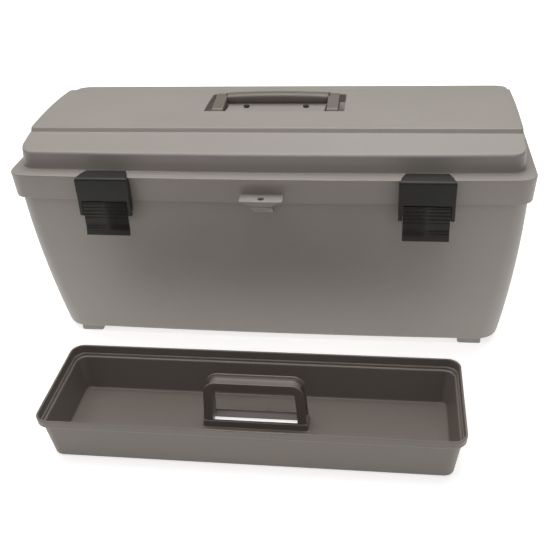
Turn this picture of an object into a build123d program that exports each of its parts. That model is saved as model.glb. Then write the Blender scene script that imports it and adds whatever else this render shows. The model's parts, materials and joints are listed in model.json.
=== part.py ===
"""Toolbox with a hinged lid, two draw latches, a fold-down carry handle and a loose tote tray."""
import os
from build123d import *

os.makedirs("parts", exist_ok=True)

# ---- driving dimensions, in mm ----
box_length = 584.0          # lid flange, end to end
box_depth = 276.0           # lid flange, front to back without the front bow
front_bow = 4.8             # how far the front swells at mid length
flange_corner = 18.0        # plan radius of the lid flange
wall = 3.0                  # moulded wall thickness

foot_height = 6.5
foot_length = 28.0
foot_depth = 18.0
foot_reach = 238.5          # foot centre from mid length
foot_margin = 1.5           # foot inside the tub's base edge
tub_end_inset = 19.5        # how far the tub's base is inside the flange at each end
tub_side_inset = 29.4       # the same at the front and the back
tub_rim_inset = 6.0         # the tub's rim is inside the skirt by this
tub_swell = 3.4             # outward curve of the end walls at mid height
tub_floor = 3.5
tub_base_radius = 5.0       # rounding around the underside
tub_base_bow = 0.7          # share of the front bow left at the base
tub_middle_bow = 0.85       # and at mid height
seam_height = 204.0         # bottom edge of the lid skirt
ledge_height = 233.2        # flat ledge around the lid
seam_gap = 0.4
skirt_draft = 2.0

tier_end_inset = 11.0       # lid wall inside the flange at the ends
tier_front_inset = 16.1     # lid wall inside the flange at the front
tier_back_inset = 26.1      # the same at the back
tier_draft = 1.6
tier_top_bow = 0.8          # share of the front bow left at the roof
tier_edge_radius = 2.0
tier_rim_low = 248.0        # all edges of the tier's top rim lie above this
shelf_limit_y = 135.0       # the roof's shelves are drawn out to here, then trimmed by the tier
shelf_front_low = 251.5     # shelf height at the front limit
shelf_front_y = -80.0       # foot of the riser at the front
shelf_front_high = 261.3
shelf_middle_y = -10.0
shelf_middle_high = 262.9
shelf_back_y = 63.0         # foot of the riser at the back
shelf_back_high = 258.3
shelf_back_low = 245.8      # shelf height at the back limit
plateau_half_length = 279.2
plateau_front_y = -77.0
plateau_front_top = 266.2
plateau_crest_y = -20.0
plateau_crest_top = 267.6
plateau_back_y = 60.0
plateau_back_top = 263.0
plateau_corner = 3.0
plateau_edge_radius = 1.5

recess_half_length = 82.5
recess_front = -28.0
recess_back = 36.0
recess_floor = 254.5
ramp_front_height = 264.2
ramp_back_height = 261.0
ramp_half_length = 59.5
ramp_end = 8.0
ramp_fall = 3.0             # length of the ramp's back slope
recess_skin_top = 263.0     # the recess walls reach up to here, inside the roof

pivot_y = -16.0             # carry handle pivot
pivot_z = 262.0
pivot_pin_radius = 3.0
arm_inner = 63.0
arm_outer = 75.5
arm_half_thickness = 5.0
arm_round = 0.2             # the round arm end is thicker by this
grip_y = 21.0
grip_depth = 17.0
grip_top = 273.2
grip_bottom = 259.2
grip_corner = 5.0
arm_end_drop = 1.5          # the arm's underside rises by this towards the grip
arm_end_rise = 2.0          # and its top by this
screw_reach = 36.0
screw_y = 0.0
screw_radius = 1.8
screw_head_radius = 3.6
screw_head_height = 1.8
screw_head_gap = 0.4        # keeps the head clear of the sloping ramp
nut_radius = 3.4
nut_height = 2.4
plate_length = 150.0
plate_depth = 44.0
plate_y = -2.0
plate_thickness = 2.0
boss_radius = 7.0           # pads that hold the handle pivot pins
boss_length = 12.0
boss_drop = 4.0

hinge_y = 143.8
hinge_z = 201.0
hinge_reach = 170.0         # hinge centre from mid length
knuckle_radius = 5.0
hinge_pin_radius = 1.6
knuckle_gap = 0.4
lid_knuckle_length = 22.0
tub_knuckle_length = 12.0
running_clearance = 0.05
hinge_pin_end = 1.0         # pin stands out of the outer knuckles by this
under_skirt = 1.2           # gap between the skirt's edge and what passes below it
tub_bracket_low = 182.0     # foot of the tub's hinge bracket
tub_bracket_root = 2.0      # how far the bracket reaches into the tub's wall
bracket_lean = 4.0
lid_bracket_top = 220.0
lid_bracket_root = 1.6
lid_bracket_toe = 3.0
bracket_round = 4.2         # the bracket's outer point on the knuckle, from the hinge line
lid_bracket_rise = 2.5
tub_bracket_toe = 2.0

latch_reach = 177.0         # latch centre from mid length
hasp_half_width = 30.0
hasp_outer_y = -152.2
hasp_thickness = 3.0
hasp_bottom = 208.6         # lower edge of the hasp's full-width plate
hook_tip_y = -129.0
arm_width = 4.5
lever_half_width = 25.0
lever_thickness = 2.5
lever_top = 207.6
lever_bottom = 167.0
lever_pivot_y = -146.2
lever_pivot_z = 203.2
link_y = -147.7
link_z = 194.5
latch_pin_radius = 1.5
latch_boss_radius = 3.2
ear_reach = 13.5            # ear centre from the latch centre
ear_thickness = 3.0
ear_root = 1.0              # how far the ear reaches into the tub's wall
ear_depth = 16.0            # the ear runs this far down the wall
ear_gap = 0.6               # below the tub's rim step
ear_toe = (1.4, 5.0)        # lower front corner of the ear, from its round end
lever_lip = 2.0             # outward lip at the lever's lower end
lever_lip_height = 7.0
lug_width = 9.0
lug_inset = 4.5
lug_gap = 0.4
lug_foot = 8.0
rib_heights = (200.0, 195.0, 190.0, 172.0)
rib_depth = 1.2
rib_height = 1.6
rib_margin = 3.0
rib_reach = 0.4
hook_gap = 0.3              # between the hook and the ledge
hook_tip_thickness = 2.2
hook_round = 2.0
hook_corner = 7.0           # chamfer at the hook's back corners
hook_corner_depth = 17.2    # front to back run of that chamfer
hook_corner_end = 1.0
hook_cut_height = 8.0
arm_boss_radius = 4.0
arm_waist = 3.6
link_pin_length = 14.0
link_pin_inset = 7.0

tab_front = -160.0
tab_hole_y = -152.5
tab_hole_radius = 3.5
tab_top = 215.0
tab_split = 209.0           # underside of the lid's tab
tab_underside = 204.4       # underside of the tub's tab
tab_half_width = 24.0
tab_narrow_half = 12.0
tab_edge = 2.5              # height of the full-width edge
tab_root = 1.5
tab_corner = 1.0
tab_gap = 0.5               # between the two tabs
lower_tab_width = 22.0
lower_tab_low = 190.0
lower_tab_front_gap = 0.6
lower_tab_root = 1.0
lower_tab_back = 4.5        # behind the padlock hole
lower_tab_brace = (7.0, 3.0)

tray_length = 437.0
tray_depth = 132.0
tray_height = 55.0
tray_taper = 6.0            # lower wall leans in by this on each side
tray_step = 4.0             # outward step below the rim band
tray_band = 11.0            # height of the rim band
tray_wall = 2.4
tray_base_radius = 2.0
tray_rim_share = 0.8        # the hollow's step is lower than the outer one by this share of the wall
tray_corner = 14.0
tray_centre_y = -278.0
tray_arch_y = 8.0           # the tray's handle stands this far behind the tray's middle
tray_arch_half = 55.0       # half the tray handle's length
tray_arch_top = 61.0
tray_arch_leg = 11.0
tray_arch_bar = 8.5
tray_arch_depth = 18.0
tray_arch_corner = 4.0
tray_arch_web = 5.0         # thickness of the web between the flanges
tray_flange = 2.4           # the recess in the web starts this far inside the outline
tray_plinth_margin = 3.0
tray_plinth_height = 8.0
tray_slot_length = 96.0
tray_plinth_ends = 9.0      # plinth past each end of the slot
tray_slot_depth = 16.0
small = 1.0                 # overlap that joins or clears two forms
through = 60.0              # length of a cut that passes right through a fitting
frame_shift = 97.6          # moves everything back so that the whole set is centred on the origin


def plan_outline(half_length, half_depth, bow, radius):
    """Rounded rectangle whose front side swells outward."""
    with BuildSketch() as plan:
        with BuildLine():
            if bow > 0:
                ThreePointArc((-half_length, -half_depth), (0, -half_depth - bow),
                              (half_length, -half_depth))
            else:
                Line((-half_length, -half_depth), (half_length, -half_depth))
            Line((half_length, -half_depth), (half_length, half_depth))
            Line((half_length, half_depth), (-half_length, half_depth))
            Line((-half_length, half_depth), (-half_length, -half_depth))
        make_face()
        fillet(plan.vertices(), radius)
    return plan.sketch


def prism(plan, bottom, top):
    """Straight walls on a plan outline."""
    with BuildPart() as body:
        with BuildSketch(Plane.XY.offset(bottom)):
            add(plan)
        extrude(amount=top - bottom)
    return body.part


def tapered(sections):
    """Walls through plan outlines at several heights."""
    with BuildPart() as body:
        for height, plan in sections:
            with BuildSketch(Plane.XY.offset(height)):
                add(plan)
        loft(ruled=len(sections) == 2)
    return body.part


def side_block(points, centre_x, width):
    """A profile in the front-to-back plane, given as (y, z), drawn out along the length."""
    with BuildPart() as body:
        with BuildSketch(Plane.YZ.offset(centre_x - width / 2)):
            with BuildLine():
                Polyline(*points, close=True)
            make_face()
        extrude(amount=width)
    return body.part


def cross_rod(centre_x, y, z, radius, width):
    """A round bar along the length."""
    with BuildPart() as body:
        with BuildSketch(Plane.YZ.offset(centre_x - width / 2)):
            with Locations((y, z)):
                Circle(radius)
        extrude(amount=width)
    return body.part


def tub_shell(inset, bottom):
    """The tub's outer form for inset 0, or its hollow for the wall thickness."""
    half_length = box_length / 2
    half_depth = box_depth / 2
    rim_length = half_length - tub_rim_inset - inset
    rim_depth = half_depth - tub_rim_inset - inset
    base_length = half_length - tub_end_inset - inset
    base_depth = half_depth - tub_side_inset - inset
    middle_length = (rim_length + base_length) / 2 + tub_swell
    middle_depth = (rim_depth + base_depth) / 2 + tub_swell / 2
    middle = (foot_height + seam_height) / 2
    radius = flange_corner - inset
    with BuildPart() as shell:
        add(tapered([
            (bottom, plan_outline(base_length, base_depth, front_bow * tub_base_bow, radius)),
            (middle, plan_outline(middle_length, middle_depth, front_bow * tub_middle_bow, radius)),
            (seam_height - seam_gap, plan_outline(rim_length, rim_depth, front_bow, radius)),
        ]))
        add(prism(plan_outline(rim_length, rim_depth, front_bow, radius),
                  seam_height - seam_gap, ledge_height - wall - seam_gap + inset))
    return shell.part


def build_tub():
    """Tub with moulded feet, latch ears, hinge knuckles and the lower padlock tab."""
    with BuildPart() as tub:
        add(tub_shell(0, foot_height))
        base_edges = tub.edges().filter_by(Plane.XY).group_by(Axis.Z)[0]
        fillet(base_edges, tub_base_radius)
        add(tub_shell(wall, foot_height + tub_floor), mode=Mode.SUBTRACT)
        for side in (-1, 1):
            foot_y = side * (box_depth / 2 - tub_side_inset - foot_depth / 2 - foot_margin)
            with Locations((-foot_reach, foot_y, 0), (foot_reach, foot_y, 0)):
                Box(foot_length, foot_depth, foot_height + small,
                    align=(Align.CENTER, Align.CENTER, Align.MIN))
        for centre in (-latch_reach, latch_reach):
            for side in (-1, 1):
                add(latch_ear(centre + side * ear_reach))
        for centre in (-hinge_reach, hinge_reach):
            for side in (-1, 1):
                offset = (lid_knuckle_length + tub_knuckle_length) / 2 + knuckle_gap
                add(tub_knuckle(centre + side * offset))
        add(lower_tab())
        cuts = [cross_rod(c, hinge_y, hinge_z, hinge_pin_radius, 3 * lid_knuckle_length)
                for c in (-hinge_reach, hinge_reach)]
        cuts += [cross_rod(c, lever_pivot_y, lever_pivot_z, latch_pin_radius, 2 * lever_half_width)
                 for c in (-latch_reach, latch_reach)]
        for cut in cuts:
            add(cut, mode=Mode.SUBTRACT)
        with Locations((0, tab_hole_y, seam_height)):
            Cylinder(tab_hole_radius, through / 2, mode=Mode.SUBTRACT)
    return tub


def latch_ear(centre):
    """Upright ear that carries a latch lever in front of the skirt."""
    root = -box_depth / 2 + tub_rim_inset + ear_root
    under = seam_height - seam_gap - ear_gap
    front = lever_pivot_y - latch_boss_radius
    back = lever_pivot_y + latch_boss_radius
    toe_in, toe_down = ear_toe
    with BuildPart() as ear:
        add(side_block([(root, lever_pivot_z - ear_depth), (root, under), (back, under),
                        (back, lever_pivot_z), (front, lever_pivot_z),
                        (front + toe_in, lever_pivot_z - toe_down)], centre, ear_thickness))
        add(cross_rod(centre, lever_pivot_y, lever_pivot_z, latch_boss_radius, ear_thickness))
    return ear.part


def tub_knuckle(centre):
    """Hinge knuckle on a bracket that passes under the skirt."""
    root = box_depth / 2 - tub_rim_inset - tub_bracket_root
    under = seam_height - under_skirt
    with BuildPart() as knuckle:
        add(cross_rod(centre, hinge_y, hinge_z, knuckle_radius, tub_knuckle_length))
        add(side_block([(root, tub_bracket_low), (root, under), (hinge_y - bracket_lean, under),
                        (hinge_y, hinge_z), (hinge_y + tub_bracket_toe, hinge_z - bracket_round)],
                       centre, tub_knuckle_length))
    return knuckle.part


def lower_tab():
    """Padlock tab of the tub, below the lid's tab."""
    root = -box_depth / 2 + tub_rim_inset - front_bow + lower_tab_root
    skirt_front = -box_depth / 2 - front_bow - lower_tab_front_gap
    under = seam_height - under_skirt
    top = tab_split - tab_gap
    brace_back, brace_down = lower_tab_brace
    with BuildPart() as tab:
        add(side_block([(root, lower_tab_low), (root, under), (skirt_front, under), (skirt_front, top),
                        (tab_front, top), (tab_front, tab_underside),
                        (tab_hole_y + lower_tab_back, tab_underside),
                        (tab_hole_y + brace_back, tab_underside - brace_down)], 0, lower_tab_width))
    return tab.part


def shelf_profile(inset):
    """Front-to-back outline of the lid's top without the plateau."""
    with BuildSketch(Plane.YZ.offset(-box_length / 2)) as profile:
        with BuildLine():
            Line((-shelf_limit_y, seam_height), (-shelf_limit_y, shelf_front_low))
            Line((-shelf_limit_y, shelf_front_low), (shelf_front_y, shelf_front_high))
            ThreePointArc((shelf_front_y, shelf_front_high), (shelf_middle_y, shelf_middle_high),
                          (shelf_back_y, shelf_back_high))
            Line((shelf_back_y, shelf_back_high), (shelf_limit_y, shelf_back_low))
            Line((shelf_limit_y, shelf_back_low), (shelf_limit_y, seam_height))
            Line((shelf_limit_y, seam_height), (-shelf_limit_y, seam_height))
        make_face()
        if inset > 0:
            offset(amount=-inset, kind=Kind.INTERSECTION, mode=Mode.REPLACE)
    return profile.sketch


def tier_block(inset):
    """Upright wall of the lid above the ledge, cut off by the sloping roof."""
    depth = box_depth - tier_front_inset - tier_back_inset
    middle_y = (tier_front_inset - tier_back_inset) / 2
    length = box_length - 2 * tier_end_inset
    top = plateau_crest_top
    with BuildPart() as tier:
        low_plan = plan_outline(length / 2 - inset, depth / 2 - inset, front_bow, flange_corner - inset)
        high_plan = plan_outline(length / 2 - tier_draft - inset, depth / 2 - tier_draft - inset,
                                 front_bow * tier_top_bow, flange_corner - inset)
        add(tapered([(ledge_height - inset - small, Pos(0, middle_y) * low_plan),
                     (top, Pos(0, middle_y) * high_plan)]))
        extrude(shelf_profile(inset), amount=box_length, dir=(1, 0, 0), mode=Mode.INTERSECT)
        if inset == 0:
            rim = [e for e in tier.edges() if e.center().Z > tier_rim_low]
            outer = [e for e in rim if abs(e.center().X) > length / 2 - flange_corner - 3 * wall
                     or abs(e.center().Y - middle_y) > depth / 2 - 3 * wall]
            fillet(outer, tier_edge_radius)
    return tier.part


def plateau_block(inset):
    """Raised middle of the roof, running almost from end to end."""
    with BuildPart() as plateau:
        with BuildSketch(Plane.YZ.offset(-plateau_half_length + inset)):
            with BuildLine():
                Line((plateau_front_y, ledge_height), (plateau_front_y, plateau_front_top))
                ThreePointArc((plateau_front_y, plateau_front_top), (plateau_crest_y, plateau_crest_top),
                              (plateau_back_y, plateau_back_top))
                Line((plateau_back_y, plateau_back_top), (plateau_back_y, ledge_height))
                Line((plateau_back_y, ledge_height), (plateau_front_y, ledge_height))
            make_face()
            if inset > 0:
                offset(amount=-inset, kind=Kind.INTERSECTION, mode=Mode.REPLACE)
        extrude(amount=2 * (plateau_half_length - inset))
        fillet(plateau.edges().filter_by(Axis.Z), plateau_corner)
        if inset == 0:
            rim = plateau.faces().sort_by(Axis.Z)[-1].edges()
            fillet(rim, plateau_edge_radius)
    return plateau.part


def lid_form(inset):
    """The lid's outer form for inset 0, or its hollow for the wall thickness."""
    half_length = box_length / 2 - inset
    half_depth = box_depth / 2 - inset
    hollow = inset > 0
    low = seam_height - (10 * small if hollow else 0)
    low_draft = skirt_draft * (0.5 if hollow else 1)
    high_draft = small if hollow else 0
    with BuildPart() as form:
        add(tapered([
            (low, plan_outline(half_length - low_draft, half_depth - low_draft,
                               front_bow, flange_corner - inset)),
            (ledge_height - inset, plan_outline(half_length - high_draft, half_depth - high_draft,
                                                front_bow, flange_corner - inset)),
        ]))
        add(tier_block(inset))
        add(plateau_block(inset))
    return form.part


def build_lid():
    """Lid with skirt, raised roof, handle recess, upper padlock tab and hinge knuckles."""
    with BuildPart() as lid:
        add(lid_form(0))
        add(lid_form(wall), mode=Mode.SUBTRACT)
        add(recess_block(wall))
        add(recess_block(0), mode=Mode.SUBTRACT)
        add(handle_boss(-1))
        add(handle_boss(1))
        add(upper_tab())
        for centre in (-hinge_reach, hinge_reach):
            add(lid_knuckle(centre))
        for centre in (-hinge_reach, hinge_reach):
            add(cross_rod(centre, hinge_y, hinge_z, hinge_pin_radius + running_clearance, through),
                mode=Mode.SUBTRACT)
        for side in (-1, 1):
            add(cross_rod(side * recess_half_length, pivot_y, pivot_z, pivot_pin_radius,
                          boss_length + 2 * small), mode=Mode.SUBTRACT)
        with Locations((-screw_reach, screw_y, recess_floor), (screw_reach, screw_y, recess_floor)):
            Cylinder(screw_radius + running_clearance, through, mode=Mode.SUBTRACT)
        with Locations((0, tab_hole_y, tab_top)):
            Cylinder(tab_hole_radius, through / 3, mode=Mode.SUBTRACT)
    return lid


def recess_block(skin):
    """Handle recess: deep channels for the arms and a shallow ramp between them."""
    top = recess_skin_top if skin > 0 else grip_top
    half = recess_half_length + skin
    floor = recess_floor - skin
    front = recess_front - small
    with BuildPart() as block:
        add(side_block([(recess_front - skin, top), (recess_front - skin, floor),
                        (recess_back + skin, floor), (recess_back + skin, top)], 0, 2 * half))
        if skin == 0:
            add(side_block([(front, floor - small), (front, ramp_front_height),
                            (ramp_end, ramp_back_height), (ramp_end + ramp_fall, floor),
                            (ramp_end + ramp_fall, floor - small)], 0, 2 * ramp_half_length),
                mode=Mode.SUBTRACT)
    return block.part


def handle_boss(side):
    """Thick pad outside the recess that holds a handle pivot pin."""
    return cross_rod(side * (recess_half_length + boss_length / 2), pivot_y, pivot_z - boss_drop,
                     boss_radius, boss_length)


def upper_tab():
    """Padlock tab of the lid: a shelf whose front narrows downward."""
    root = box_depth / 2 + front_bow - tab_root
    edge = tab_top - tab_edge
    with BuildPart() as tab:
        with BuildSketch(Plane.XZ.offset(root)):
            with BuildLine():
                Polyline((-tab_half_width, tab_top), (tab_half_width, tab_top), (tab_half_width, edge),
                         (tab_narrow_half, tab_split), (-tab_narrow_half, tab_split),
                         (-tab_half_width, edge), close=True)
            make_face()
        extrude(amount=-tab_front - root)
        fillet(tab.edges().filter_by(Axis.Z), tab_corner)
    return tab.part


def lid_knuckle(centre):
    """Hinge knuckle on the back of the skirt."""
    face = box_depth / 2 - lid_bracket_root
    with BuildPart() as knuckle:
        add(cross_rod(centre, hinge_y, hinge_z, knuckle_radius, lid_knuckle_length))
        add(side_block([(face, seam_height), (hinge_y - lid_bracket_toe, hinge_z),
                        (hinge_y + bracket_round, hinge_z + lid_bracket_rise),
                        (face, lid_bracket_top)], centre, lid_knuckle_length))
    return knuckle.part


def build_carry_handle():
    """U-shaped handle that lies in the recess and swings up on two pins."""
    with BuildPart() as handle:
        for side in (-1, 1):
            centre = side * (arm_inner + arm_outer) / 2
            width = arm_outer - arm_inner
            add(side_block([(pivot_y, pivot_z - arm_half_thickness),
                            (grip_y, pivot_z - arm_half_thickness + arm_end_drop),
                            (grip_y, pivot_z + arm_half_thickness + arm_end_rise),
                            (pivot_y, pivot_z + arm_half_thickness)], centre, width - small))
            add(cross_rod(centre, pivot_y, pivot_z, arm_half_thickness + arm_round, width - small))
        with BuildSketch(Plane.YZ.offset(-arm_outer)):
            with Locations((grip_y, (grip_top + grip_bottom) / 2)):
                RectangleRounded(grip_depth, grip_top - grip_bottom, grip_corner)
        extrude(amount=2 * arm_outer)
        add(cross_rod(0, pivot_y, pivot_z, pivot_pin_radius + running_clearance, 4 * through),
            mode=Mode.SUBTRACT)
    return handle


def build_pivot_pins():
    """Two stub pins that carry the handle."""
    with BuildPart() as pins:
        for side in (-1, 1):
            outer = recess_half_length + boss_length / 2
            add(cross_rod(side * (arm_inner + outer) / 2, pivot_y, pivot_z, pivot_pin_radius,
                          outer - arm_inner))
    return pins


def build_handle_plate():
    """Stiffening plate screwed below the recess."""
    top = recess_floor - wall
    with BuildPart() as plate:
        with Locations((0, plate_y, top - plate_thickness / 2)):
            Box(plate_length, plate_depth, plate_thickness)
        with Locations((-screw_reach, screw_y, top), (screw_reach, screw_y, top)):
            Cylinder(screw_radius + running_clearance, 4 * nut_height, mode=Mode.SUBTRACT)
    return plate


def build_handle_screws():
    """Two pan-head screws through the ramp into nuts below the plate."""
    fall = (ramp_front_height - ramp_back_height) / (ramp_end - recess_front)
    head = ramp_front_height - fall * (screw_y - recess_front) + screw_head_gap
    nut = recess_floor - wall - plate_thickness - running_clearance
    with BuildPart() as screws:
        for side in (-1, 1):
            x = side * screw_reach
            with Locations((x, screw_y, nut)):
                Cylinder(screw_radius, head - nut + small, align=(Align.CENTER, Align.CENTER, Align.MIN))
                Cylinder(nut_radius, nut_height, align=(Align.CENTER, Align.CENTER, Align.MAX))
            with Locations((x, screw_y, head)):
                Cylinder(screw_head_radius, screw_head_height,
                         align=(Align.CENTER, Align.CENTER, Align.MIN))
    return screws


def build_hinge_pin(centre):
    """Steel pin of one hinge."""
    length = lid_knuckle_length + 2 * (tub_knuckle_length + knuckle_gap) + 2 * hinge_pin_end
    with BuildPart() as pin:
        add(cross_rod(centre, hinge_y, hinge_z, hinge_pin_radius, length))
    return pin


def build_lever(centre):
    """Latch lever with finger ribs and a lug at each side."""
    outer = hasp_outer_y
    inner = outer + lever_thickness
    lip_top = lever_bottom + lever_lip_height
    with BuildPart() as lever:
        add(side_block([(outer, lever_top), (inner, lever_top), (inner, lip_top),
                        (inner - lever_lip, lever_bottom), (outer - lever_lip, lever_bottom),
                        (outer, lip_top)], centre, 2 * lever_half_width))
        for side in (-1, 1):
            lug = centre + side * (lever_half_width - lug_inset)
            add(side_block([(outer + small, lever_top - lug_gap),
                            (lever_pivot_y, lever_pivot_z + latch_boss_radius - lug_gap),
                            (lever_pivot_y + latch_boss_radius, lever_pivot_z),
                            (link_y + latch_boss_radius, link_z),
                            (link_y, link_z - latch_boss_radius),
                            (outer + small, link_z - lug_foot)], lug, lug_width))
            add(cross_rod(lug, lever_pivot_y, lever_pivot_z, latch_boss_radius, lug_width))
            add(cross_rod(lug, link_y, link_z, latch_boss_radius, lug_width))
        with Locations(*[(centre, outer - rib_reach, height) for height in rib_heights]):
            Box(2 * (lever_half_width - rib_margin), rib_depth, rib_height)
        add(cross_rod(centre, lever_pivot_y, lever_pivot_z, latch_pin_radius + running_clearance,
                      through), mode=Mode.SUBTRACT)
        add(cross_rod(centre, link_y, link_z, latch_pin_radius, through), mode=Mode.SUBTRACT)
    return lever


def hook_corner_cut(centre, side):
    """Wedge that chamfers one back corner of the hook."""
    edge = centre + side * hasp_half_width
    back = hook_tip_y + hook_corner_end
    front = back - hook_corner_depth - small
    with BuildPart() as wedge:
        with BuildSketch(Plane.XY.offset(ledge_height + hook_gap - 2 * small)):
            with BuildLine():
                Polyline((edge, front), (edge + side * small, front), (edge + side * small, back),
                         (edge - side * hook_corner, back), close=True)
            make_face()
        extrude(amount=hook_cut_height)
    return wedge.part


def build_hasp(centre):
    """Hasp plate: hooks over the lid's ledge, with an arm down each side of the lever."""
    outer = hasp_outer_y
    inner = outer + hasp_thickness
    under = ledge_height + hook_gap
    top = under + hasp_thickness
    with BuildPart() as hasp:
        add(side_block([(outer, hasp_bottom), (inner, hasp_bottom), (inner, under), (hook_tip_y, under),
                        (hook_tip_y, under + hook_tip_thickness), (outer + hook_round, top),
                        (outer, top - hook_round)], centre, 2 * hasp_half_width))
        for side in (-1, 1):
            add(hook_corner_cut(centre, side), mode=Mode.SUBTRACT)
            arm = centre + side * (hasp_half_width - arm_width / 2)
            add(side_block([(outer, hasp_bottom + small), (inner, hasp_bottom + small),
                            (link_y + arm_waist, link_z), (link_y, link_z - arm_boss_radius),
                            (outer, link_z - arm_boss_radius)], arm, arm_width))
            add(cross_rod(arm, link_y, link_z, arm_boss_radius, arm_width))
        add(cross_rod(centre, link_y, link_z, latch_pin_radius + running_clearance, 2 * through),
            mode=Mode.SUBTRACT)
    return hasp


def build_link_pins(centre):
    """Two stub pins that join a hasp to its lever."""
    with BuildPart() as pins:
        for side in (-1, 1):
            add(cross_rod(centre + side * (hasp_half_width - link_pin_inset), link_y, link_z,
                          latch_pin_radius, link_pin_length))
    return pins


def build_lever_pin(centre):
    """Pin through the tub's ears and the lever's lugs."""
    with BuildPart() as pin:
        add(cross_rod(centre, lever_pivot_y, lever_pivot_z, latch_pin_radius, 2 * lever_half_width))
    return pin


def tray_form(inset, bottom, top):
    """Tray body: a leaning lower wall, a step outward, then an upright band."""
    half_length = tray_length / 2 - inset
    half_depth = tray_depth / 2 - inset
    step = tray_height - tray_band + inset * tray_rim_share
    with BuildPart() as form:
        add(tapered([
            (bottom, plan_outline(half_length - tray_step - tray_taper,
                                  half_depth - tray_step - tray_taper, 0, tray_corner - tray_step)),
            (step, plan_outline(half_length - tray_step, half_depth - tray_step, 0,
                                tray_corner - tray_step)),
        ]))
        add(prism(plan_outline(half_length, half_depth, 0, tray_corner), step, top))
    return form.part


def build_tray():
    """Tote tray with its moulded handle and a slot in the floor under the grip."""
    with BuildPart() as tray:
        add(tray_form(0, 0, tray_height))
        fillet(tray.edges().filter_by(Plane.XY).group_by(Axis.Z)[0], tray_base_radius)
        add(tray_form(tray_wall, tray_wall, tray_height + small), mode=Mode.SUBTRACT)
        add(tray_arch())
        with Locations((0, tray_arch_y, tray_wall)):
            Box(tray_slot_length + 2 * tray_plinth_ends, tray_slot_depth + 2 * tray_plinth_margin,
                tray_plinth_height, align=(Align.CENTER, Align.CENTER, Align.MIN))
        with Locations((0, tray_arch_y, 0)):
            Box(tray_slot_length, tray_slot_depth, 2 * (tray_arch_top - tray_arch_bar), mode=Mode.SUBTRACT)
        add(tray_arch())
    return tray


def arch_outline(margin):
    """Outline of the tray's handle, an upside-down U, drawn inside its edge by the margin."""
    outer = tray_arch_half - margin
    inner = tray_arch_half - tray_arch_leg + margin
    base = tray_wall / 2
    top = tray_arch_top - margin
    inner_top = tray_arch_top - tray_arch_bar + margin
    return Polyline((-outer, base), (-outer, top), (outer, top), (outer, base), (inner, base),
                    (inner, inner_top), (-inner, inner_top), (-inner, base), close=True)


def tray_arch():
    """Handle arch: a web between two flanges, standing on two legs."""
    half_depth = tray_arch_depth / 2
    with BuildPart() as arch:
        with BuildSketch(Plane.XZ.offset(-tray_arch_y)):
            with BuildLine():
                arch_outline(0)
            make_face()
        extrude(amount=half_depth, both=True)
        corners = [e for e in arch.edges().filter_by(Axis.Y) if e.center().Z > tray_arch_leg]
        fillet(corners, tray_arch_corner)
        for face_side in (-1, 1):
            with BuildSketch(Plane.XZ.offset(face_side * half_depth - tray_arch_y)):
                with BuildLine():
                    arch_outline(tray_flange)
                make_face()
            extrude(amount=-face_side * (half_depth - tray_arch_web / 2), mode=Mode.SUBTRACT)
    return arch.part


def place(builder, name, shift=0.0):
    """Moves a finished piece into the shared frame and names it."""
    builder.part = Location((0, frame_shift + shift, 0)) * builder.part
    builder.part.label = name
    export_step(builder.part, "parts/" + name + ".step")


place(build_tub(), "tub")
place(build_lid(), "lid")
place(build_carry_handle(), "carry_handle")
place(build_pivot_pins(), "handle_pivot_pins")
place(build_handle_plate(), "handle_plate")
place(build_handle_screws(), "handle_screws")
for side_name, side_sign in (("left", -1), ("right", 1)):
    place(build_hinge_pin(side_sign * hinge_reach), "hinge_pin_" + side_name)
    place(build_lever(side_sign * latch_reach), "latch_lever_" + side_name)
    place(build_hasp(side_sign * latch_reach), "latch_hasp_" + side_name)
    place(build_link_pins(side_sign * latch_reach), "latch_link_pins_" + side_name)
    place(build_lever_pin(side_sign * latch_reach), "latch_lever_pin_" + side_name)
place(build_tray(), "tray", tray_centre_y)
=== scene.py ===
# Toolbox with a loose tote tray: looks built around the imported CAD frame. Lengths are in mm until makeMesh.
import json
import bpy
import numpy as np
from mathutils import Matrix, Vector


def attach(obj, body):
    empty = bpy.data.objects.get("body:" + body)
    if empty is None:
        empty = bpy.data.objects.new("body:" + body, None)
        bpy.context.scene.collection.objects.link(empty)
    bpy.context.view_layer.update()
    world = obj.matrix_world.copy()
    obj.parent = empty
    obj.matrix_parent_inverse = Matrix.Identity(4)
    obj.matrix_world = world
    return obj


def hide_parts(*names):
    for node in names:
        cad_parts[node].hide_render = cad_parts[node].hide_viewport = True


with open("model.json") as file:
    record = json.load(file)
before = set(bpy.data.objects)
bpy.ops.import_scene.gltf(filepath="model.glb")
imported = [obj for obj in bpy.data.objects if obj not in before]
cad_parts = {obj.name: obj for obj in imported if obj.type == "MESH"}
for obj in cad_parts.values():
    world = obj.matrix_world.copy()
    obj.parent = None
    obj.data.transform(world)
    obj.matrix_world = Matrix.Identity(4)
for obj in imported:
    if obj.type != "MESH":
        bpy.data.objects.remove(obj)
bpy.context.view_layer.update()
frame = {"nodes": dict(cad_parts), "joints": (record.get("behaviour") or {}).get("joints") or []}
hinge = next(j for j in frame["joints"] if j["name"] == "lid_hinge")
hingeY = 143.8                                    # hinge line behind the middle of the box
shiftY = hinge["pos_m"][1] * 1000 - hingeY        # the box's own middle, in the row frame
sides = {"left": -1, "right": 1}
print("stage: frame loaded")


# ---- small helpers ----
srgb = {"knee": 0.04045, "slope": 12.92, "offset": 0.055, "power": 2.4}
edges = {"segments": 3, "angle": 0.6}


def linear(hexText):
    # sRGB hex text to linear colour: c / slope below the knee, else ((c + offset) / (1 + offset)) ^ power
    c = np.array([int(hexText[i:i + 2], 16) for i in (0, 2, 4)]) / 255
    bright = ((c + srgb["offset"]) / (1 + srgb["offset"])) ** srgb["power"]
    return (*np.where(c <= srgb["knee"], c / srgb["slope"], bright), 1.0)


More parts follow.
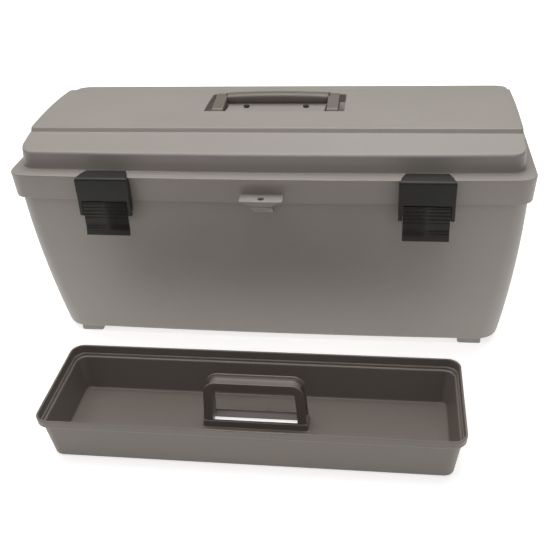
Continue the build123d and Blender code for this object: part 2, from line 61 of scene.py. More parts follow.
def addNode(tree, kind, settings=None, links=None):
    node = tree.nodes.new(kind)
    for key, value in (settings or {}).items():
        if isinstance(key, str) and hasattr(node, key):
            setattr(node, key, value)
        else:
            node.inputs[key].default_value = value
    for socket, source in (links or {}).items():
        tree.links.new(source, node.inputs[socket])
    return node


def noise(tree, place, grainMm, detail=2.0, roughness=0.5):
    # noise whose largest grains are about grainMm across
    settings = {"Scale": 1000 / grainMm, "Detail": detail, "Roughness": roughness}
    return addNode(tree, "ShaderNodeTexNoise", settings, {"Vector": place}).outputs["Fac"]


def mapped(tree, value, low, high, fromLow=0.0, fromHigh=1.0):
    settings = {"From Min": fromLow, "From Max": fromHigh, "To Min": low, "To Max": high}
    return addNode(tree, "ShaderNodeMapRange", settings, {"Value": value}).outputs["Result"]


def mixed(tree, share, first, second):
    # first and second: a fixed colour or an output socket
    mix = addNode(tree, "ShaderNodeMix", {"data_type": "RGBA"}, {0: share})
    for socket, colour in ((6, first), (7, second)):
        if isinstance(colour, tuple):
            mix.inputs[socket].default_value = colour
        else:
            tree.links.new(colour, mix.inputs[socket])
    return mix.outputs[2]


def newMaterial(name):
    material = bpy.data.materials.new(name)
    material.use_nodes = True
    tree = material.node_tree
    place = addNode(tree, "ShaderNodeTexCoord").outputs["Object"]
    return material, tree, tree.nodes["Principled BSDF"], place


def makeMesh(name, points, faces, material, body, replaced=None, bevel=0.0):
    # points in mm in the box's own frame, written in metres in the row frame
    mesh = bpy.data.meshes.new(name)
    placed = (np.asarray(points, float) + (0, shiftY, 0)) / 1000
    mesh.from_pydata(placed.tolist(), [], [list(f) for f in faces])
    mesh.validate()
    mesh.shade_smooth()
    mesh.materials.append(material)
    piece = bpy.data.objects.new(name, mesh)
    bpy.context.scene.collection.objects.link(piece)
    if bevel:
        rounding = piece.modifiers.new("rounded edges", "BEVEL")
        rounding.width = bevel / 1000
        rounding.segments = edges["segments"]
        rounding.limit_method = "ANGLE"
        rounding.angle_limit = edges["angle"]
    piece.modifiers.new("even shading", "WEIGHTED_NORMAL").keep_sharp = True
    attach(piece, body)
    if replaced:
        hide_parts(replaced)
    return piece


def stackFaces(count, around, closed=False):
    # quads from each loop of points to the next; closed joins the last to the first, else ends are capped
    i = np.arange(count if closed else count - 1)[:, None]
    j = np.arange(around)[None]
    nextI, nextJ = (i + 1) % count * around, (j + 1) % around
    quads = np.stack([i * around + j, i * around + nextJ, nextI + nextJ, nextI + j], -1)
    faces = quads.reshape(-1, 4).tolist()
    if not closed:
        faces.append(list(range(around))[::-1])
        faces.append(list(range((count - 1) * around, count * around)))
    return faces


# ---- materials ----
plastic = {"ior": 1.49, "bumpDistance": 0.0002, "flowDetail": 3.0, "flowRoughness": 0.55, "dustDetail": 6.0,
           "dustRoughness": 0.7, "dustFrom": 0.56, "dustTo": 0.78}


def mouldedPlastic(name, hexText, settings):
    # injection-moulded: spark-eroded grain as bump, faint flow marks in colour and sheen, thin dust
    material, tree, shader, place = newMaterial(name)
    flow = noise(tree, place, settings["flowMm"], plastic["flowDetail"], plastic["flowRoughness"])
    dust = noise(tree, place, settings["dustMm"], plastic["dustDetail"], plastic["dustRoughness"])
    base = np.array(linear(hexText))
    deep = base * settings["deep"]
    tone = mixed(tree, flow, (*deep[:3], 1.0), tuple(base))
    dustShare = mapped(tree, dust, 0.0, settings["dust"], plastic["dustFrom"], plastic["dustTo"])
    tree.links.new(mixed(tree, dustShare, tone, linear(settings["dustHex"])), shader.inputs["Base Color"])
    tree.links.new(mapped(tree, flow, *settings["rough"]), shader.inputs["Roughness"])
    relief = {"Strength": settings["bump"], "Distance": plastic["bumpDistance"]}
    bump = addNode(tree, "ShaderNodeBump", relief, {"Height": noise(tree, place, settings["grainMm"])})
    tree.links.new(bump.outputs["Normal"], shader.inputs["Normal"])
    shader.inputs["IOR"].default_value = plastic["ior"]
    return material


shellPlastic = mouldedPlastic("warm grey polypropylene, fine spark grain", "9a938d",
                              {"flowMm": 70, "deep": 0.93, "dustMm": 9, "dust": 0.05, "dustHex": "c9c3ba",
                               "rough": (0.34, 0.46), "grainMm": 0.9, "bump": 0.18})
trayPlastic = mouldedPlastic("mid grey polypropylene, satin", "736b64",
                             {"flowMm": 60, "deep": 0.90, "dustMm": 7, "dust": 0.06, "dustHex": "b5aea5",
                              "rough": (0.36, 0.48), "grainMm": 0.8, "bump": 0.16})
gripPlastic = mouldedPlastic("mid grey polypropylene, handled smooth", "6f6860",
                             {"flowMm": 35, "deep": 0.88, "dustMm": 6, "dust": 0.05, "dustHex": "b5aea5",
                              "rough": (0.30, 0.42), "grainMm": 0.8, "bump": 0.12})
latchGrain = {"flowMm": 25, "deep": 0.88, "dustMm": 5, "dust": 0.05, "dustHex": "6d6a63", "grainMm": 0.7,
              "bump": 0.14}
latchPlastic = mouldedPlastic("charcoal acetal, satin", "1d1c18", {**latchGrain, "rough": (0.42, 0.54)})
leverPlastic = mouldedPlastic("charcoal acetal, matt where fingers grip", "33312d",
                              {**latchGrain, "rough": (0.66, 0.8)})

plating = {"spangleMm": 10 / 9}


def platedSteel(name, hexText, rough):
    # plated mild steel: the sheen varies in small spangles
    material, tree, shader, place = newMaterial(name)
    spangle = noise(tree, place, plating["spangleMm"])
    tree.links.new(mapped(tree, spangle, *rough), shader.inputs["Roughness"])
    shader.inputs["Base Color"].default_value = linear(hexText)
    shader.inputs["Metallic"].default_value = 1.0
    return material


steel = platedSteel("zinc-plated steel, clear passivated", "b9bbbd", (0.24, 0.42))
# darkened steel: on the handle's pivot pins it is painted shade in their slots; the handle's screws are dark
# too
darkSteel = platedSteel("dark steel, painted shade on the pivot pins", "4a4846", (0.32, 0.5))
print("stage: materials made")


# ---- rounded outlines stacked into shells ----
outline = {"cornerSteps": 10, "longSteps": 56, "shortSteps": 22, "edgeSteps": 6, "edgeReach": 0.48,
           "circleSteps": 32, "least": 0.2}


def unitOutline():
    # each point = straight part (ax, ay) times the half size less the radius, plus (nx, ny) times the radius
    rows = []
    walls = [((-1, -1), (1, -1), (0, -1)), ((1, -1), (1, 1), (1, 0)),
             ((1, 1), (-1, 1), (0, 1)), ((-1, 1), (-1, -1), (-1, 0))]
    for k, (start, end, normal) in enumerate(walls):
        steps = outline["longSteps"] if k % 2 == 0 else outline["shortSteps"]
        t = np.linspace(0, 1, steps + 1)[:, None]
        along = np.array(start) * (1 - t) + np.array(end) * t
        rows.append(np.hstack([along, np.repeat([normal], steps + 1, 0)]))
        turn = np.linspace(0, np.pi / 2, outline["cornerSteps"] + 1)[1:-1, None]
        turn = turn + np.arctan2(normal[1], normal[0])
        rows.append(np.hstack([np.repeat([end], len(turn), 0), np.cos(turn), np.sin(turn)]))
    return np.vstack(rows)


unit = unitOutline()
# the roof: a plateau stands on a shelf that shows at its front and back; both are drawn flat, then bent
roofCurve = {"shelfFlat": 256.0, "shelfY": [-135, -80, -45, -10, 26, 63, 135],
             "shelfZ": [251.5, 261.3, 262.6, 262.9, 261.7, 258.3, 245.8],
             "plateauFlat": 266.0, "plateauY": (-77.0, -20.0, 60.0), "plateauZ": (266.2, 267.6, 263.0)}


def shelfHeight(y):
    return np.interp(y, roofCurve["shelfY"], roofCurve["shelfZ"])


def plateauHeight(y):
    # parabola through the front, crest and back points of the plateau (Lagrange form)
    a, b, c = roofCurve["plateauY"]
    front, crest, back = roofCurve["plateauZ"]
    return (front * (y - b) * (y - c) / (a - b) / (a - c)
            + crest * (y - a) * (y - c) / (b - a) / (b - c)
            + back * (y - a) * (y - b) / (c - a) / (c - b))


def row(halfX, halfY, radius, z, bow=0.0, shelf=0.0, plateau=0.0, moveX=0.0, moveY=0.0):
    return [halfX, halfY, radius, bow, z, shelf, plateau, moveX, moveY]


def ringPoints(rows):
    halfX, halfY, radius, bow, z, shelf, plateau, moveX, moveY = np.asarray(rows, float).T[:, :, None]
    ax, ay, nx, ny = unit.T
    x = ax * (halfX - radius) + nx * radius
    y = ay * (halfY - radius) + ny * radius + moveY
    # each share adds its curve's height above that curve's flat level
    height = (z + shelf * (shelfHeight(y) - roofCurve["shelfFlat"])
              + plateau * (plateauHeight(y) - roofCurve["plateauFlat"]))
    y = y - np.where(ny < 0, bow * (1 - ax ** 2) * -ny, 0)                    # front swells as a parabola
    return np.stack([x + moveX, y, height], -1)


def softened(rows, radii):
    # each corner of the section becomes a quadratic curve: (1-t)^2 a + 2t(1-t) b + t^2 c
    rows = np.asarray(rows, float)
    out = [rows[0]]
    t = np.linspace(0, 1, outline["edgeSteps"])[:, None]
    for k in range(1, len(rows) - 1):
        before, here, after = rows[k - 1], rows[k], rows[k + 1]
        if radii[k] <= 0:
            out.append(here)
            continue
        # lengths across the section, from half depth (column 1) and height (column 4)
        reachA = np.hypot(*(before - here)[[1, 4]]) + 1e-9
        reachB = np.hypot(*(after - here)[[1, 4]]) + 1e-9
        a = here + (before - here) * min(radii[k] / reachA, outline["edgeReach"])
        c = here + (after - here) * min(radii[k] / reachB, outline["edgeReach"])
        out.extend((1 - t) ** 2 * a + 2 * t * (1 - t) * here + t ** 2 * c)
    out.append(rows[-1])
    return np.array(out)


def ringShell(name, rows, radii, material, body, replaced=None, closed=False):
    # closed: the section is a loop, as around a hole; otherwise both ends are capped flat
    points = ringPoints(softened(rows, radii))
    faces = stackFaces(*points.shape[:2], closed)
    return makeMesh(name, points.reshape(-1, 3), faces, material, body, replaced)


def sideBlock(name, section, centreX, width, material, body, replaced=None, bevel=0.6):
    # a closed (y, z) section, turned anticlockwise seen from +X, drawn out along the length
    y, z = np.asarray(section, float).T
    area = 0.5 * np.sum(y * np.roll(z, -1) - np.roll(y, -1) * z)
    if area < 0:
        y, z = y[::-1], z[::-1]
    loops = [np.column_stack([np.full(len(y), centreX + move), y, z]) for move in (-width / 2, width / 2)]
    return makeMesh(name, np.vstack(loops), stackFaces(2, len(y)), material, body, replaced, bevel)


def circleSection(y, z, radius):
    a = np.linspace(0, 2 * np.pi, outline["circleSteps"], endpoint=False)
    return np.column_stack([y + radius * np.cos(a), z + radius * np.sin(a)])


def roundedBlock(name, low, high, radius, edge, material, body):
    low, high = np.array(low, float), np.array(high, float)
    half, mid = (high - low) / 2, (high + low) / 2
    at = {"moveX": mid[0], "moveY": mid[1]}
    capCorner = max(radius - edge, outline["least"])
    rows = [row(half[0] - edge, half[1] - edge, capCorner, low[2], **at),
            row(half[0], half[1], radius, low[2], **at),
            row(half[0], half[1], radius, high[2], **at),
            row(half[0] - edge, half[1] - edge, capCorner, high[2], **at)]
    return ringShell(name, rows, [0, edge, edge, 0], material, body)


# ---- tub ----
tub = {"halfX": 292.0, "halfY": 138.0, "corner": 18.0, "cornerGrowth": 8.0, "bow": 4.8, "bowLoss": 0.3,
       "wall": 3.0, "foot": 6.5, "floor": 3.5, "baseInsetX": 19.5, "baseInsetY": 29.4, "rimInset": 6.0,
       "swell": 3.4, "seam": 203.6, "rim": 229.6, "levels": 24, "capInset": 8.0,
       "baseEdge": 6.0, "rimEdge": 1.2, "floorEdge": 4.0,
       "footX": 238.5, "footY": 98.1, "footHalfX": 14.0, "footHalfY": 9.0, "footOverlap": 1.5,
       "footCorner": 3.0, "footEdge": 1.0}


def tubRow(height, inset):
    # inset grows linearly from the rim down to the base, less a swell that is largest at mid height
    t = np.clip((tub["seam"] - height) / (tub["seam"] - tub["foot"]), 0, 1)
    swell = tub["swell"] * 4 * t * (1 - t)
    insetX = tub["rimInset"] + (tub["baseInsetX"] - tub["rimInset"]) * t - swell + inset
    insetY = tub["rimInset"] + (tub["baseInsetY"] - tub["rimInset"]) * t - swell / 2 + inset
    corner = tub["corner"] + tub["cornerGrowth"] * t - inset
    bow = tub["bow"] * (1 - tub["bowLoss"] * t)
    return row(tub["halfX"] - insetX, tub["halfY"] - insetY, corner, height, bow)


def drawnIn(ring):
    # the same row with its half sizes and corner less the cap inset
    return [value - tub["capInset"] for value in ring[:3]] + ring[3:]


def buildTub():
    heights = np.linspace(tub["foot"], tub["seam"], tub["levels"])
    outside = [tubRow(h, 0) for h in heights] + [tubRow(tub["rim"], 0)]
    inside = [tubRow(tub["rim"], tub["wall"])] + [tubRow(h, tub["wall"]) for h in heights[::-1][:-1]]
    floor = tubRow(tub["foot"] + tub["floor"], tub["wall"])
    rows = [drawnIn(outside[0])] + outside + inside + [floor, drawnIn(floor)]
    radii = ([0, tub["baseEdge"]] + [0] * (len(outside) - 2) + [tub["rimEdge"]] * 2
             + [0] * (len(inside) - 1) + [tub["floorEdge"], 0])
    ringShell("tub_shell", rows, radii, shellPlastic, "box", "tub")
    for sideX, nameX in ((-1, "l"), (1, "r")):
        for sideY, nameY in ((-1, "front"), (1, "back")):
            x, y = sideX * tub["footX"], sideY * tub["footY"]
            low = (x - tub["footHalfX"], y - tub["footHalfY"], 0)
            high = (x + tub["footHalfX"], y + tub["footHalfY"], tub["foot"] + tub["footOverlap"])
            roundedBlock(f"foot_{nameX}_{nameY}", low, high, tub["footCorner"], tub["footEdge"],
                         shellPlastic, "box")


buildTub()
print("stage: tub built")

# ---- lid ----
# bands: half length, half depth, share of the tub's bow, shelf share, plateau share, shift in y
# sections: band, growth in x and y, corner radius, height, edge radius; walked from the underside of the
# recess out to the seam, then up over the outside and into the recess
lid = {"bands": {"skirt": (292.0, 138.0, 1.0, 0, 0, 0), "tier": (281.0, 116.9, 1.0, 0, 0, -5.0),
                 "shelf": (281.0, 116.9, 0.8, 1, 0, -5.0), "foot": (279.4, 68.5, 0, 1, 0, -8.5),
                 "plateau": (279.4, 68.5, 0, 0, 1, -8.5), "middle": (170.0, 50.0, 0, 0, 1, 0),
                 "hole": (82.5, 32.0, 0, 0, 1, 4.0), "sunk": (82.5, 32.0, 0, 0, 0, 4.0)},
       "inside": [("sunk", -4, -4, 1.0, 251.5, 0), ("sunk", 2.6, 2.6, 5, 251.5, 1.0),
                  ("hole", 3.2, 3.2, 6, 263, 1.0), ("middle", 0, 0, 10, 263, 0),
                  ("plateau", -3.4, -2.4, 4, 263, 1.0), ("foot", -2.6, 0.4, 5, 253, 1.0),
                  ("shelf", -4.6, -4.4, 12, 253, 3.0), ("tier", -3, -3, 13, 230.2, 1.0),
                  ("skirt", -3.4, -3.4, 15, 230.2, 1.0), ("skirt", -4.4, -4.4, 14, 204, 0.6)],
       "outside": [("skirt", -2, -2, 16, 204, 0.8), ("skirt", -0.4, -0.4, 17.6, 227, 0),
                   ("skirt", 0, 0, 18, 233.2, 1.7), ("tier", 0, 0, 16, 233.2, 2.2),
                   ("shelf", -1.4, -1.4, 15, 256, 3.6), ("foot", 0.1, 3.4, 4.0, 256, 1.4),
                   ("plateau", -0.2, 0.2, 3.4, 266, 1.6), ("middle", 0, 0, 10, 266, 0),
                   ("hole", 0.3, 0.3, 3.3, 266, 0.9), ("sunk", -0.4, -0.4, 2.6, 254.5, 1.0),
                   ("sunk", -6, -6, 1.0, 254.5, 0)],
       "ramp": [(-28.2, 254), (-28.2, 264.2), (7.4, 261.1), (8.6, 260.2), (11, 254)], "rampLength": 119.0,
       "boss": (-16, 258, 7), "bossX": 88.5, "bossLength": 12.0, "edge": 0.8}


def buildLid():
    rows, radii = [], []
    for band, growX, growY, corner, z, edge in lid["inside"] + lid["outside"]:
        halfX, halfY, bowShare, shelf, plateau, moveY = lid["bands"][band]
        bow = tub["bow"] * bowShare
        rows.append(row(halfX + growX, halfY + growY, corner, z, bow, shelf, plateau, 0, moveY))
        radii.append(edge)
    ringShell("lid_shell", rows, radii, shellPlastic, "lid", "lid")
    # ramp between the arm channels
    sideBlock("recess_ramp", lid["ramp"], 0, lid["rampLength"], shellPlastic, "lid", bevel=lid["edge"])
    for name, side in sides.items():
        sideBlock("pivot_boss_" + name, circleSection(*lid["boss"]), side * lid["bossX"], lid["bossLength"],
                  shellPlastic, "lid", bevel=lid["edge"])


buildLid()
print("stage: lid built")


# ---- hinges and padlock tabs ----
hingeParts = {"z": 201.0, "radius": 5.0, "reach": 170.0, "lidLength": 22.0, "tubLength": 12.0, "gap": 0.4,
              "lidWeb": [(139.8, 203.6), (148.0, 203.5), (139.8, 221), (136.2, 221), (136.2, 204.2)],
              "tubWeb": [(130.5, 182), (145.8, 196.6), (143.8, 201), (139.8, 202.8), (130.5, 202.8)]}


def buildHinges():
    knuckle = circleSection(hingeY, hingeParts["z"], hingeParts["radius"])
    offset = (hingeParts["lidLength"] + hingeParts["tubLength"]) / 2 + hingeParts["gap"]
    for name, side in sides.items():
        centre = side * hingeParts["reach"]
        for kind, section in (("knuckle", knuckle), ("hinge_web", hingeParts["lidWeb"])):
            sideBlock(f"lid_{kind}_{name}", section, centre, hingeParts["lidLength"], shellPlastic, "lid")
        for k, move in enumerate((-offset, offset)):
            for kind, section in (("knuckle", knuckle), ("hinge_web", hingeParts["tubWeb"])):
                sideBlock(f"tub_{kind}_{name}_{k}", section, centre + move, hingeParts["tubLength"],
                          shellPlastic, "box")


buildHinges()
tabs = {"front": -160.0, "top": 215.0, "split": 209.0, "gap": 0.5, "under": 204.4, "holeY": -152.5,
        "hole": 3.5, "countersink": 1.14, "sinkDepth": 0.5, "edge": 0.6, "steps": 64, "power": 0.22,
        "lidHalf": 24.0, "lidHalfLow": 12.0, "lidFlare": 2.5, "lidBack": -140.6, "tubHalf": 11.0,
        "tubBack": -143.4, "rootWidth": 22.0, "rootEdge": 0.4,
        "root": [(-135.5, 190), (-135.5, 202.8), (-148.2, 202.8), (-148.2, 204.6), (-149.2, 204.6),
                 (-146, 200)]}


def tabPlate(name, low, high, halfAt, body, back):
    # plate with a round hole: loops walk up the outer edge and down through the hole
    a = np.linspace(0, 2 * np.pi, tabs["steps"], endpoint=False)
    c, s = np.cos(a), np.sin(a)
    middle, half = (tabs["front"] + back) / 2, (back - tabs["front"]) / 2
    centre = np.array([0, tabs["holeY"]])
    circle = tabs["hole"] * np.column_stack([c, s])
    edge = tabs["edge"]
    loops, heights = [], []
    for z, halfX, inset in [(low, halfAt(low), edge), (low + edge, halfAt(low + edge), 0),
                            (high - edge, halfAt(high), 0), (high, halfAt(high), edge)]:
        # rounded rectangle: sign(cos) |cos|^p by sign(sin) |sin|^p
        x = (halfX - inset) * np.sign(c) * np.abs(c) ** tabs["power"]
        y = middle + half * np.sign(s) * np.abs(s) ** tabs["power"]
        loops.append(np.column_stack([x, y]))
        heights.append(z)
    wide = circle * tabs["countersink"] + centre
    loops += [wide, circle + centre, circle + centre, wide]
    heights += [high, high - tabs["sinkDepth"], low + tabs["sinkDepth"], low]
    points = np.vstack([np.column_stack([loop, np.full(len(a), z)]) for loop, z in zip(loops, heights)])
    return makeMesh(name, points, stackFaces(len(loops), len(a), closed=True), shellPlastic, body)


def lidTabHalf(z):
    # the plate flares from its low edge to its full width, just under the top
    levels = [tabs["split"], tabs["top"] - tabs["lidFlare"]]
    return np.interp(z, levels, [tabs["lidHalfLow"], tabs["lidHalf"]])


tabPlate("lid_padlock_tab", tabs["split"], tabs["top"], lidTabHalf, "lid", tabs["lidBack"])
tabPlate("tub_padlock_tab", tabs["under"], tabs["split"] - tabs["gap"], lambda z: tabs["tubHalf"], "box",
         tabs["tubBack"])
sideBlock("tub_tab_root", tabs["root"], 0, tabs["rootWidth"], shellPlastic, "box", bevel=tabs["rootEdge"])
print("stage: hinges and tabs built")

# ---- carry handle ----
grip = {"armIn": 61.5, "armOut": 75.5, "pivot": (-16.0, 262.0), "eye": 5.2, "armEdge": 1.4, "overlap": 2.0,
        "arm": [(4, 257.8), (21, 259.2), (28.6, 262), (28.6, 267.5), (24, 270.4), (14, 270.4), (-8, 268.0)],
        "centreY": 21.0, "top": 271.4, "bottom": 259.4, "rise": 1.8, "halfDepth": 8.4, "power": 0.7,
        "stations": 41, "steps": 48}


def buildCarryHandle():
    # the arm: the front half of a circle round the pivot, then back under and over the grip
    eye = circleSection(*grip["pivot"], grip["eye"])
    quarter = len(eye) // 4
    section = np.vstack([eye[quarter:3 * quarter + 1], grip["arm"]])
    for name, side in sides.items():
        sideBlock("handle_arm_" + name, section, side * (grip["armIn"] + grip["armOut"]) / 2,
                  grip["armOut"] - grip["armIn"], gripPlastic, "handle", bevel=grip["armEdge"])
    reach = grip["armIn"] + grip["overlap"]
    x = np.linspace(-reach, reach, grip["stations"])[:, None]
    a = np.linspace(0, 2 * np.pi, grip["steps"], endpoint=False)
    c, s = np.cos(a), np.sin(a)
    top = grip["top"] + grip["rise"] * (1 - (x / grip["armIn"]) ** 2)       # the top bows up like a parabola
    # rounded section: sign(cos) |cos|^p by sign(sin) |sin|^p
    y = grip["centreY"] + grip["halfDepth"] * np.sign(c) * np.abs(c) ** grip["power"] + 0 * x
    z = (top + grip["bottom"]) / 2 + (top - grip["bottom"]) / 2 * np.sign(s) * np.abs(s) ** grip["power"]
    points = np.stack([x + 0 * a, y, z], -1)
    makeMesh("handle_grip", points.reshape(-1, 3), stackFaces(*points.shape[:2]), gripPlastic, "handle",
             "carry_handle")


def colourPins(metal, nodes):
    for node in nodes:
        materials = frame["nodes"][node].data.materials
        materials.clear()
        materials.append(metal)


buildCarryHandle()
# the pivot pins are darkened as painted shade in their slots; the screws get the same dark steel
colourPins(darkSteel, ["handle_pivot_pins", "handle_screws"])
colourPins(steel, ["handle_plate", "hinge_pin_left", "hinge_pin_right", "latch_link_pins_left",
                   "latch_link_pins_right", "latch_lever_pin_left", "latch_lever_pin_right"])
print("stage: carry handle built")

# ---- latches ----
latch = {"reach": 177.0, "outer": -152.2}
hasp = {"tip": -129.0, "bendY": -140.0, "top": 233.5, "mid": 220.0, "bottom": 208.6,
        "tipHalf": 23.0, "bendHalf": 27.0, "topHalf": 28.6, "half": 30.0, "footHalf": 29.4,
        "plate": 3.0, "tipPlate": 2.6, "bend": 3.2, "innerBend": (0.4, 0.2), "drop": 0.2, "bendSteps": 7,
        "edge": 0.7, "cheekX": 27.7, "cheekWidth": 4.4,
        "cheek": [(-152.0, 190.5), (-147.7, 190.5), (-144.3, 193.0), (-142.6, 203), (-142.6, 228),
                  (-144, 233.5), (-149.8, 234.9), (-152.0, 231.5)]}


def haspPath(tipRise, bendRise, acrossY, acrossZ, y):
    # (y, z, half width) from the hook's tip round a quarter turn and down the plate
    t = np.linspace(0, np.pi / 2, hasp["bendSteps"])
    turn = np.column_stack([latch["outer"] + hasp["bend"] - acrossY * np.sin(t),
                            hasp["top"] - hasp["drop"] + acrossZ * np.cos(t),
                            hasp["topHalf"] + (hasp["half"] - hasp["topHalf"]) * np.sin(t)])
    return np.vstack([(hasp["tip"], hasp["top"] + tipRise, hasp["tipHalf"]),
                      (hasp["bendY"], hasp["top"] + bendRise, hasp["bendHalf"]), turn,
                      (y, hasp["mid"], hasp["half"]), (y, hasp["bottom"], hasp["footHalf"])])


def buildHasp(name, x):
    outer = haspPath(hasp["tipPlate"], hasp["plate"], hasp["bend"], hasp["bend"], latch["outer"])
    inner = haspPath(0, 0, *hasp["innerBend"], latch["outer"] + hasp["plate"])
    corners = [(outer, -1), (outer, 1), (inner, 1), (inner, -1)]
    points = np.stack([np.column_stack([x + s * p[:, 2], p[:, 0], p[:, 1]]) for p, s in corners], 1)
    faces = [face[::-1] for face in stackFaces(*points.shape[:2])]
    makeMesh("hasp_plate_" + name, points.reshape(-1, 3), faces, latchPlastic, "hasp_" + name,
             "latch_hasp_" + name, bevel=hasp["edge"])
    for k, s in enumerate((-1, 1)):
        sideBlock(f"hasp_cheek_{name}_{k}", hasp["cheek"], x + s * hasp["cheekX"], hasp["cheekWidth"],
                  latchPlastic, "hasp_" + name, bevel=hasp["edge"])


lever = {"half": 25.0, "top": 207.6, "faceEnd": 173.0, "points": 170, "ribPitch": 4.3, "ribHeight": 0.36,
         "ribSharpness": 1.6, "upperRibs": (188.0, 205.2), "lowerRibs": 178.5,
         "lip": [(-153.0, 172), (-154.6, 168), (-153.8, 167), (-151.6, 167), (-149.6, 174), (-149.6, 207.6)],
         "lug": [(-151.2, 207.0), (-146.2, 206.3), (-143.4, 204.4), (-143.4, 202.0), (-144.6, 194.5),
                 (-147.7, 191.4), (-151.2, 186.5)],
         "lugX": 20.4, "lugWidth": 9.0, "lugEdge": 0.5,
         "ear": [(-131.4, 187), (-131.4, 203), (-143.0, 203), (-143.0, 203.2), (-143.9, 205.5),
                 (-146.2, 206.4), (-148.5, 205.5), (-149.4, 203.2), (-148.0, 198.2)],
         "earX": 13.5, "earWidth": 3.0, "earEdge": 0.4}


def buildLever(name, x):
    # finger ribs on the front face: a rounded saw of the height, one group near the top and one at the lip
    z = np.linspace(lever["top"], lever["faceEnd"], lever["points"])
    saw = np.clip(lever["ribSharpness"] * np.sin(2 * np.pi * (z - lever["top"]) / lever["ribPitch"]), -1, 1)
    lowest, highest = lever["upperRibs"]
    ribbed = ((z > lowest) & (z < highest)) | (z < lever["lowerRibs"])
    face = np.column_stack([latch["outer"] - lever["ribHeight"] * (1 + saw) * ribbed, z])
    sideBlock("lever_plate_" + name, np.vstack([face, lever["lip"]]), x, 2 * lever["half"], leverPlastic,
              "lever_" + name, "latch_lever_" + name, bevel=0)
    for k, s in enumerate((-1, 1)):
        sideBlock(f"lever_lug_{name}_{k}", lever["lug"], x + s * lever["lugX"], lever["lugWidth"],
                  latchPlastic, "lever_" + name, bevel=lever["lugEdge"])
        sideBlock(f"latch_ear_{name}_{k}", lever["ear"], x + s * lever["earX"], lever["earWidth"],
                  shellPlastic, "box", bevel=lever["earEdge"])


for name, side in sides.items():
    buildHasp(name, side * latch["reach"])
    buildLever(name, side * latch["reach"])
print("stage: latches built")

# ---- tray ----
# pan: inset from the half length and depth, corner radius, height, edge radius; from underneath over the rim
# plinth: growth beyond the slot in x and y, corner radius, height, edge radius; channel: depth and y
tray = {"halfX": 218.5, "halfY": 66.0, "centreY": -278.0, "slotX": 48.0, "slotY": 8.0, "handleY": -270.0,
        "underSlot": (0, 0, 1.0, 0, 0),
        "pan": [(10, 10, 0, 2.4), (4.2, 12, 45.4, 1.2), (0.4, 14, 46.4, 1.0), (0, 14, 55, 1.0),
                (2.4, 12, 55, 1.0), (2.7, 12, 43.6, 1.4), (6.6, 10, 42.2, 1.2), (12.6, 8, 2.4, 2.6)],
        "plinth": [(9.4, 3.4, 2.2, 2.4, 1.0), (9.0, 3.0, 2.0, 10.4, 0.8), (0, 0, 1.0, 10.4, 0)],
        "archHalf": 55.0, "archTop": 61.0, "leg": 10.0, "bar": 6.4, "flare": 0.07, "legFoot": 4.0,
        "cornerOut": 13.0, "cornerIn": 4.0, "legSteps": 8, "cornerSteps": 9,
        "channel": [(0.5, 9), (0, 8.5), (0, 7.4), (0.5, 6.8), (4.0, 6.4), (4.0, -6.4), (0.5, -6.8),
                    (0, -7.4), (0, -8.5), (0.5, -9), (-0.5, -9), (-0.01, -8.4), (-0.01, 8.4), (-0.5, 9)]}


def slotRow(growX, growY, corner, z, edge):
    return row(tray["slotX"] + growX, tray["slotY"] + growY, corner, z, moveY=tray["handleY"]), edge


def buildTray():
    section = [slotRow(*tray["underSlot"])]
    section += [(row(tray["halfX"] - inset, tray["halfY"] - inset, corner, z, moveY=tray["centreY"]), edge)
                for inset, corner, z, edge in tray["pan"]]
    section += [slotRow(*values) for values in tray["plinth"]]
    rows, radii = zip(*section)
    ringShell("tray_pan", rows, radii, trayPlastic, "tray", "tray", closed=True)


def archSide(halfX, top, corner):
    # left half of the arch's outline: up the leg, then a quarter circle to the bar
    t = np.linspace(0, np.pi / 2, tray["cornerSteps"])
    leg = np.column_stack([np.full(tray["legSteps"], -halfX),
                           np.linspace(tray["legFoot"], top - corner, tray["legSteps"])])
    turn = np.column_stack([-halfX + corner * (1 - np.cos(t)), top - corner * (1 - np.sin(t))])
    half = np.vstack([leg, turn])
    x, z = np.vstack([half, half[::-1] * [-1, 1]]).T
    leaning = 1 + tray["flare"] * (0.5 - z / tray["archTop"])       # the legs lean in towards the bar
    return np.column_stack([x * leaning, z])


def buildTrayHandle():
    out = archSide(tray["archHalf"], tray["archTop"], tray["cornerOut"])
    inn = archSide(tray["archHalf"] - tray["leg"], tray["archTop"] - tray["bar"], tray["cornerIn"])
    toIn = (inn - out) / np.linalg.norm(inn - out, axis=1, keepdims=True)
    loops = []
    for depth, y in tray["channel"]:
        # a depth of 0 or more is measured from the outer outline, a negative one back from the inner outline
        place = (out if depth >= 0 else inn) + toIn * depth
        loops.append(np.column_stack([place[:, 0], np.full(len(place), tray["handleY"] + y), place[:, 1]]))
    points = np.stack(loops, 1)
    makeMesh("tray_handle", points.reshape(-1, 3), stackFaces(*points.shape[:2]), trayPlastic, "tray")


buildTray()
buildTrayHandle()
print("stage: tray built")

# ---- floor, light and camera ----
# lengths in metres in the row frame, but for the camera, which is in mm in the box's own frame
# the floor's far grey colour is painted shade and its glow is painted light; the front and pool limits bound
# that painted pool of light
studio = {"floorHex": "efeeec", "floorPaintedShadeHex": "8f8f8f", "floorRough": 0.85, "floorPaintedGlow": 0.62,
          "floorHalf": 12.0, "floorZ": -0.0004, "frontDark": -0.60, "frontBright": -0.37,
          "poolStart": 2.4, "poolEnd": 3.4, "sky": 0.22, "white": (1.0, 1.0, 1.0, 1.0),
          "lensMm": 54.4, "sensorMm": 36.0, "camera": (134.3, -947.5, 614.9),
          "yaw": -8.82, "pitch": 31.66, "roll": 3.15}
# each softbox: place, aim, size, watts
softboxes = {"key softbox": ((-0.6, 0.1, 2.4), (0, 0.1, 0.1), 2.2, 36),
             "front softbox": ((0.3, -1.5, 2.0), (0, -0.2, 0.1), 1.8, 4),
             "top softbox": ((0.4, 0.8, 2.3), (0, 0.1, 0.2), 2.0, 26)}


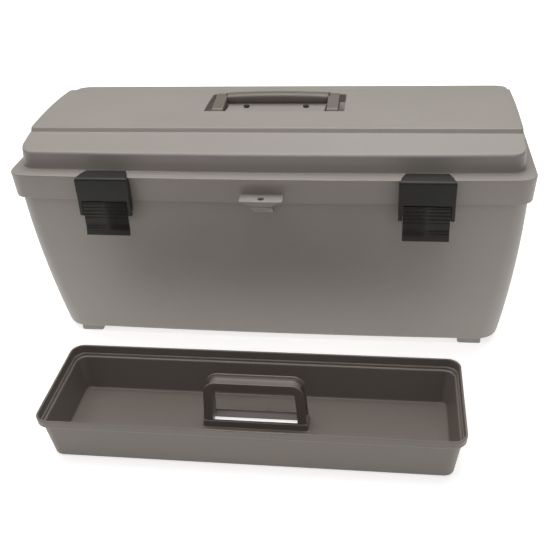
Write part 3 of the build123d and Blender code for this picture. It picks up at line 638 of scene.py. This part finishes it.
def buildFloor():
    # matt white floor with a painted glow; its colour and glow form a painted pool of light in the middle
    # that darkens to grey painted shade towards the front and far away; the glow also lights the box a little
    # from below
    material, tree, shader, place = newMaterial("matt white floor, painted glow and painted pool of light")
    along = addNode(tree, "ShaderNodeSeparateXYZ", None, {"Vector": place}).outputs["Y"]
    reach = addNode(tree, "ShaderNodeVectorMath", {"operation": "LENGTH"}, {0: place}).outputs["Value"]
    front = mapped(tree, along, 0.0, 1.0, studio["frontDark"], studio["frontBright"])
    pool = mapped(tree, reach, 0.0, 1.0, studio["poolEnd"], studio["poolStart"])
    # lit is the painted pool of light: 1 in the middle, falling to 0 towards the front and far away; it
    # drives both the painted glow and the floor's tone
    lit = addNode(tree, "ShaderNodeMath", {"operation": "MULTIPLY"}, {0: front, 1: pool}).outputs["Value"]
    glow = addNode(tree, "ShaderNodeMath", {"operation": "MULTIPLY", 1: studio["floorPaintedGlow"]}, {0: lit})
    # tone: grey painted shade where lit is low, white where it is high
    tone = mixed(tree, lit, linear(studio["floorPaintedShadeHex"]), linear(studio["floorHex"]))
    tree.links.new(tone, shader.inputs["Base Color"])
    tree.links.new(glow.outputs["Value"], shader.inputs["Emission Strength"])
    shader.inputs["Roughness"].default_value = studio["floorRough"]
    shader.inputs["Emission Color"].default_value = studio["white"]
    mesh = bpy.data.meshes.new("floor")
    r, z = studio["floorHalf"], studio["floorZ"]
    mesh.from_pydata([(-r, -r, z), (r, -r, z), (r, r, z), (-r, r, z)], [], [(0, 1, 2, 3)])
    mesh.materials.append(material)
    floor = bpy.data.objects.new("floor", mesh)
    bpy.context.scene.collection.objects.link(floor)


def buildLights():
    world = bpy.data.worlds.new("soft studio")
    world.use_nodes = True
    sky = world.node_tree.nodes["Background"]
    sky.inputs["Color"].default_value = studio["white"]
    sky.inputs["Strength"].default_value = studio["sky"]
    bpy.context.scene.world = world
    for name, (place, aim, size, watts) in softboxes.items():
        light = bpy.data.lights.new(name, "AREA")
        light.shape = "SQUARE"
        light.size = size
        light.energy = watts
        lamp = bpy.data.objects.new(name, light)
        lamp.location = place
        lamp.rotation_euler = (Vector(place) - Vector(aim)).to_track_quat("Z", "Y").to_euler()
        bpy.context.scene.collection.objects.link(lamp)


def buildCamera():
    scene = bpy.context.scene
    scene.view_settings.view_transform = "Standard"
    cameraData = bpy.data.cameras.new("camera")
    cameraData.sensor_width = studio["sensorMm"]
    cameraData.lens = studio["lensMm"]
    camera = bpy.data.objects.new("camera", cameraData)
    yaw, pitch, roll = np.radians([studio["yaw"], studio["pitch"], studio["roll"]])
    ahead = np.array([np.sin(yaw) * np.cos(pitch), np.cos(yaw) * np.cos(pitch), -np.sin(pitch)])
    right = np.array([np.cos(yaw), -np.sin(yaw), 0.0])
    down = np.cross(ahead, right)
    turn = np.eye(4)
    turn[:3, 0] = np.cos(roll) * right + np.sin(roll) * down
    turn[:3, 1] = np.sin(roll) * right - np.cos(roll) * down
    turn[:3, 2] = -ahead
    turn[:3, 3] = (np.array(studio["camera"]) + (0, shiftY, 0)) / 1000
    camera.matrix_world = Matrix(turn.tolist())
    scene.collection.objects.link(camera)
    scene.camera = camera


buildFloor()
buildLights()
buildCamera()
bpy.context.view_layer.update()
print("stage: studio set")
